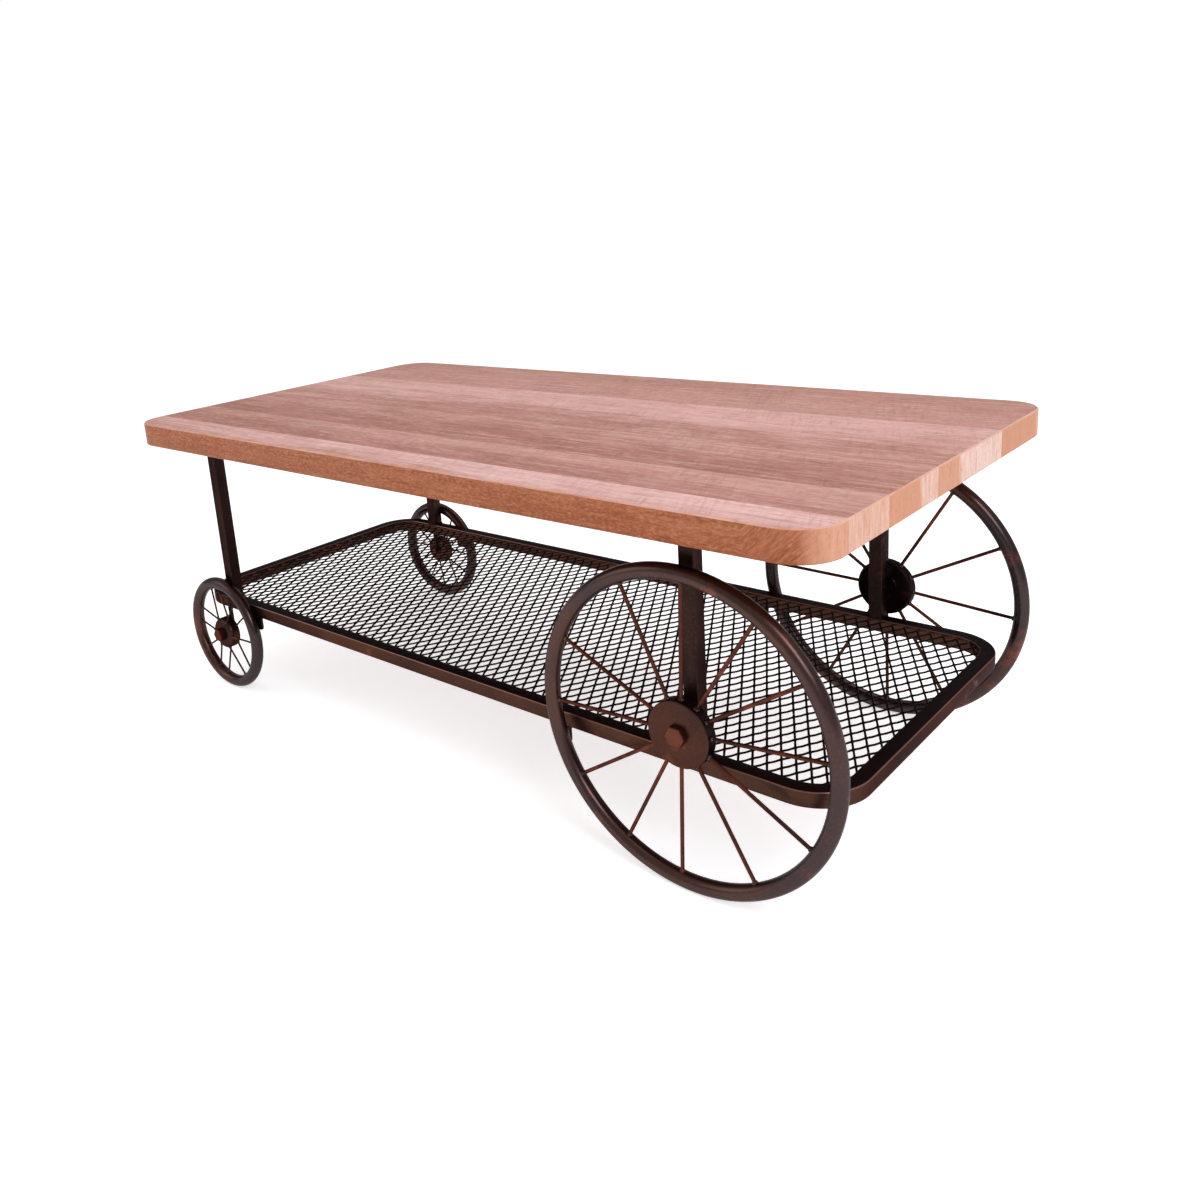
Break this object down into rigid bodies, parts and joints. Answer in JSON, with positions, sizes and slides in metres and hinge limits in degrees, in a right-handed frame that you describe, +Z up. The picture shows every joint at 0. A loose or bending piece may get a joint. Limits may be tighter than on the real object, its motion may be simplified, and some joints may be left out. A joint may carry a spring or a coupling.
{
  "type": "wagon wheel coffee table",
  "caption": "Industrial cart coffee table with a plank top, a mesh shelf, two large and two small spoked wheels.",
  "frame": {"origin": "on the floor under the middle of the tabletop", "axes": "+X along the top towards the large wheels, +Y from the front side to the back side, +Z up"},
  "size_m": [1.2075, 0.615, 0.46],
  "materials": {
    "acacia": "satin",
    "dark_bronze": "satin",
    "coppered_steel": "satin",
    "fastener_steel": "satin"
  },
  "bodies": {
    "table": {"axle_bolt_large_back": "fastener_steel", "axle_bolt_large_front": "fastener_steel", "axle_bolt_small_back": "fastener_steel", "axle_bolt_small_front": "fastener_steel", "axle_nut_large_back": "fastener_steel", "axle_nut_large_front": "fastener_steel", "axle_strap_back": "fastener_steel", "axle_strap_front": "fastener_steel", "leg_back_left": "dark_bronze", "leg_back_right": "dark_bronze", "leg_front_left": "dark_bronze", "leg_front_right": "dark_bronze", "leg_plate_back_left": "dark_bronze", "leg_plate_back_right": "dark_bronze", "leg_plate_front_left": "dark_bronze", "leg_plate_front_right": "dark_bronze", "rim_tab_large_back": "dark_bronze", "rim_tab_large_front": "dark_bronze", "rim_tab_small_back": "dark_bronze", "rim_tab_small_front": "dark_bronze", "shelf_frame": "dark_bronze", "shelf_mesh_lower": "dark_bronze", "shelf_mesh_upper": "dark_bronze", "top_board_1": "acacia", "top_board_2": "acacia", "top_board_3": "acacia", "top_board_4": "acacia", "top_board_5": "acacia"},
    "wheel_large_front": {"hub_large_front": "coppered_steel", "rim_large_front": "dark_bronze", "spokes_large_front": "coppered_steel"},
    "wheel_large_back": {"hub_large_back": "coppered_steel", "rim_large_back": "dark_bronze", "spokes_large_back": "coppered_steel"},
    "wheel_small_front": {"hub_small_front": "coppered_steel", "rim_small_front": "dark_bronze", "spokes_small_front": "coppered_steel"},
    "wheel_small_back": {"hub_small_back": "coppered_steel", "rim_small_back": "dark_bronze", "spokes_small_back": "coppered_steel"}
  },
  "joints": [
    {"name": "large_wheel_front_turn", "type": "hinge", "parent": "table", "child": "wheel_large_front", "pos_m": [0.41, -0.258, 0.192], "axis": [0, 1, 0], "continuous": true},
    {"name": "large_wheel_back_turn", "type": "hinge", "parent": "table", "child": "wheel_large_back", "pos_m": [0.41, 0.258, 0.192], "axis": [0, 1, 0], "continuous": true},
    {"name": "small_wheel_front_turn", "type": "hinge", "parent": "table", "child": "wheel_small_front", "pos_m": [-0.51, -0.2488, 0.0955], "axis": [0, 1, 0], "continuous": true},
    {"name": "small_wheel_back_turn", "type": "hinge", "parent": "table", "child": "wheel_small_back", "pos_m": [-0.51, 0.2488, 0.0955], "axis": [0, 1, 0], "continuous": true}
  ]
}
